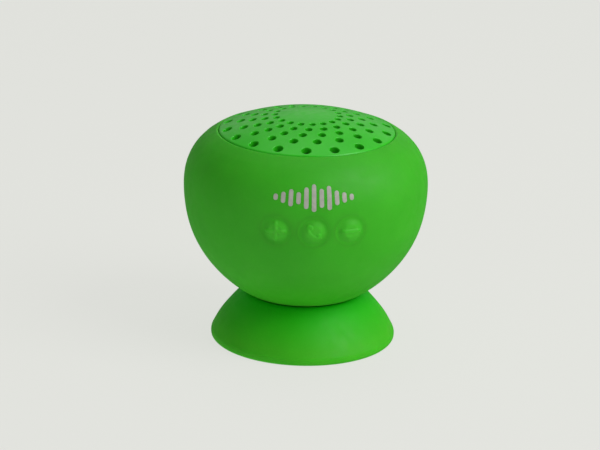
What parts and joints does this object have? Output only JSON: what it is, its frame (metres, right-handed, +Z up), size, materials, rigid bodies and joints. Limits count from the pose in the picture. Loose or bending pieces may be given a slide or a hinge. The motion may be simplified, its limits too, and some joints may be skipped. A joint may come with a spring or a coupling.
{
  "type": "shower speaker",
  "caption": "Mushroom-shaped wireless speaker in green silicone with a perforated round grille, front push-buttons and a suction-cup foot.",
  "frame": {"origin": "centre of the suction cup's rim, on the surface it stands on or sticks to", "axes": "+Z up through the cup and the grille; -Y is the side with the push-buttons, +Y the side with the port flap; +X is the right-hand side seen from the buttons"},
  "size_m": [0.062, 0.0628, 0.0595],
  "materials": {
    "green_silicone": "soft-touch matt silicone",
    "green_grille": "satin green ABS, moulded",
    "black_abs": "spark-textured black ABS",
    "black_cloth": "fine woven acoustic cloth",
    "steel": "bright zinc-plated steel",
    "ferrite": "sintered ferrite, matt",
    "black_paper": "pressed black paper",
    "black_rubber": "moulded rubber",
    "board_green": "solder-masked glass laminate",
    "black_epoxy": "moulded epoxy",
    "cell_foil": "laminated foil pouch",
    "foam": "closed-cell foam",
    "copper": "enamelled copper winding",
    "red_wire": "PVC insulation",
    "white_plastic": "moulded white plastic",
    "clear_pipe": "clear acrylic"
  },
  "bodies": {
    "cup": {"suction_cup": "green_silicone"},
    "head": {"amplifier_chip": "black_epoxy", "battery_cell": "cell_foil", "battery_foam": "foam", "battery_lead": "red_wire", "bluetooth_module": "steel", "board_screw_1": "steel", "board_screw_2": "steel", "cup_hub_insert": "black_abs", "cup_retainer_washer": "steel", "cup_screw": "steel", "driver_basket": "steel", "driver_gasket": "foam", "driver_magnet": "ferrite", "driver_spider": "black_cloth", "driver_surround": "black_rubber", "driver_terminals": "board_green", "driver_top_plate": "steel", "driver_yoke": "steel", "grille_cloth": "black_cloth", "key_board": "board_green", "key_board_screw_1": "steel", "key_board_screw_2": "steel", "key_ribbon": "white_plastic", "led_light_pipe": "clear_pipe", "lower_shell": "black_abs", "main_board": "board_green", "microphone": "black_rubber", "power_switch_case": "steel", "shell_screw_1": "steel", "shell_screw_2": "steel", "shell_screw_3": "steel", "shell_screw_4": "steel", "shell_seal": "black_rubber", "silicone_sleeve": "green_silicone", "speaker_grille": "green_grille", "speaker_lead": "red_wire", "status_led": "white_plastic", "tact_switch_call": "steel", "tact_switch_volume_down": "steel", "tact_switch_volume_up": "steel", "upper_shell": "black_abs", "usb_socket": "steel", "usb_tongue": "black_epoxy"},
    "button_volume_up": {"button_volume_up": "green_silicone", "key_volume_up": "black_abs", "switch_stem_volume_up": "white_plastic"},
    "button_call": {"button_call": "green_silicone", "key_call": "black_abs", "switch_stem_call": "white_plastic"},
    "button_volume_down": {"button_volume_down": "green_silicone", "key_volume_down": "black_abs", "switch_stem_volume_down": "white_plastic"},
    "port_flap": {"port_flap": "green_silicone"},
    "power_switch": {"power_switch_knob": "black_abs"},
    "cone": {"driver_cone": "black_paper", "dust_cap": "black_paper", "voice_coil": "copper"}
  },
  "joints": [
    {"name": "cup_press", "type": "slide", "parent": "cup", "child": "head", "axis": [0, 0, -1], "range_m": [0, 0.003], "stiffness_N_per_m": 5000, "springref_m": -0.0006, "deforming": ["suction_cup"]},
    {"name": "press_volume_up", "type": "slide", "parent": "head", "child": "button_volume_up", "axis": [0, 1, 0], "range_m": [0, 0.0005], "stiffness_N_per_m": 1500, "springref_m": -0.0003},
    {"name": "press_call", "type": "slide", "parent": "head", "child": "button_call", "axis": [0, 1, 0], "range_m": [0, 0.0005], "stiffness_N_per_m": 1500, "springref_m": -0.0003},
    {"name": "press_volume_down", "type": "slide", "parent": "head", "child": "button_volume_down", "axis": [0, 1, 0], "range_m": [0, 0.0005], "stiffness_N_per_m": 1500, "springref_m": -0.0003},
    {"name": "flap_open", "type": "hinge", "parent": "head", "child": "port_flap", "pos_m": [-0.0002, 0.0293, 0.02975], "axis": [-1, 0, 0], "range_deg": [0, 110]},
    {"name": "power_slide", "type": "slide", "parent": "head", "child": "power_switch", "axis": [1, 0, 0], "range_m": [0, 0.002]},
    {"name": "cone_travel", "type": "slide", "parent": "head", "child": "cone", "axis": [0, 0, 1], "range_m": [-0.001, 0.001], "stiffness_N_per_m": 1500, "deforming": ["driver_surround", "driver_spider"]}
  ]
}
